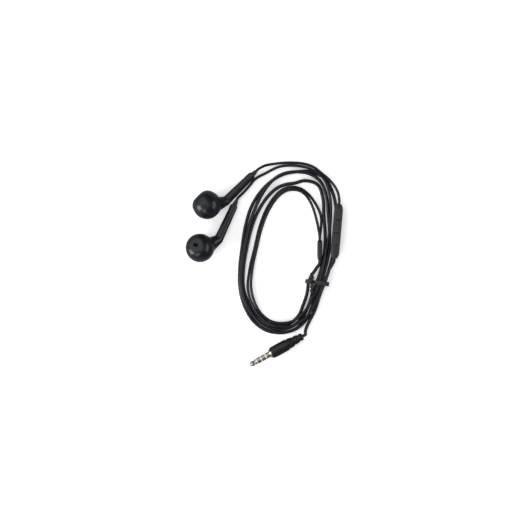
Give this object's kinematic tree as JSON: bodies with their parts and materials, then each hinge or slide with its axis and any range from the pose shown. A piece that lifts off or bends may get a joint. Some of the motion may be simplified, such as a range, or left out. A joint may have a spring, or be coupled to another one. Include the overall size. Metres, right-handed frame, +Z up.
{
  "type": "wired earphones",
  "caption": "Wired earphones with half-in-ear buds on long stems, inline remote, Y splitter and a four-pole jack plug, cable wound into an oval coil and held by a twist tie.",
  "frame": {"origin": "on the surface the set lies on, under the middle of the two earbuds", "axes": "+Z up from the surface, +Y towards the top of the cable coil, +X from the earbuds towards the coil"},
  "size_m": [0.0947, 0.1231, 0.0177],
  "materials": {
    "shell_gloss": "glossy black",
    "shell_satin": "satin black",
    "button_gloss": "glossy black",
    "soft_black": "matte black",
    "boot_black": "matte black",
    "cable_black": "satin bluish black",
    "mesh_steel": "fine woven mesh",
    "frame_black": "matte",
    "nickel": "polished nickel",
    "steel": "satin",
    "copper": "enamelled copper",
    "film": "thin clear film",
    "paper": "thin paper",
    "board_green": "solder mask",
    "insulator_white": "moulded",
    "core_grey": "moulded",
    "tie_black": "satin black"
  },
  "bodies": {
    "earphones": {"left_face_cap": "shell_gloss", "left_rear_shell": "shell_gloss", "left_stem_sleeve": "soft_black", "left_sound_mesh": "mesh_steel", "left_vent_mesh": "mesh_steel", "left_driver_frame": "frame_black", "left_magnet": "nickel", "left_pole_plate": "steel", "left_yoke_cup": "steel", "left_damping_paper": "paper", "left_cable_crimp": "steel", "left_inner_wires": "copper", "right_face_cap": "shell_gloss", "right_rear_shell": "shell_gloss", "right_stem_sleeve": "soft_black", "right_sound_mesh": "mesh_steel", "right_vent_mesh": "mesh_steel", "right_driver_frame": "frame_black", "right_magnet": "nickel", "right_pole_plate": "steel", "right_yoke_cup": "steel", "right_damping_paper": "paper", "right_cable_crimp": "steel", "right_inner_wires": "copper", "remote_front_shell": "shell_satin", "remote_rear_shell": "shell_gloss", "circuit_board": "board_green", "dome_switches": "steel", "mic_capsule": "steel", "mic_gasket": "soft_black", "splitter_front_shell": "soft_black", "splitter_rear_shell": "soft_black", "splitter_crimp": "steel", "plug_tip": "nickel", "plug_front_ring": "nickel", "plug_rear_ring": "nickel", "plug_sleeve": "nickel", "plug_insulators": "insulator_white", "plug_core": "core_grey", "plug_boot": "boot_black", "main_cable_lead": "cable_black", "main_cable_coil": "cable_black", "left_cable_coil": "cable_black", "left_cable_lead": "cable_black", "right_cable_coil": "cable_black", "right_cable_lead": "cable_black", "twist_tie": "tie_black"},
    "volume_up_button": {"volume_up_button": "button_gloss"},
    "centre_button": {"centre_button": "button_gloss"},
    "volume_down_button": {"volume_down_button": "button_gloss"},
    "left_diaphragm_set": {"left_diaphragm": "film", "left_voice_coil": "copper"},
    "right_diaphragm_set": {"right_diaphragm": "film", "right_voice_coil": "copper"}
  },
  "joints": [
    {"name": "volume_up_press", "type": "slide", "parent": "earphones", "child": "volume_up_button", "axis": [0, 0, -1], "range_m": [0, 0.00025], "stiffness_N_per_m": 400},
    {"name": "centre_press", "type": "slide", "parent": "earphones", "child": "centre_button", "axis": [0, 0, -1], "range_m": [0, 0.00025], "stiffness_N_per_m": 400},
    {"name": "volume_down_press", "type": "slide", "parent": "earphones", "child": "volume_down_button", "axis": [0, 0, -1], "range_m": [0, 0.00025], "stiffness_N_per_m": 400},
    {"name": "left_diaphragm_stroke", "type": "slide", "parent": "earphones", "child": "left_diaphragm_set", "axis": [-0.2919, 0.2227, 0.9302], "range_m": [-0.00015, 0.00015], "stiffness_N_per_m": 500},
    {"name": "right_diaphragm_stroke", "type": "slide", "parent": "earphones", "child": "right_diaphragm_set", "axis": [-0.7009, 0.7133, 0], "range_m": [-0.00015, 0.00015], "stiffness_N_per_m": 500}
  ]
}
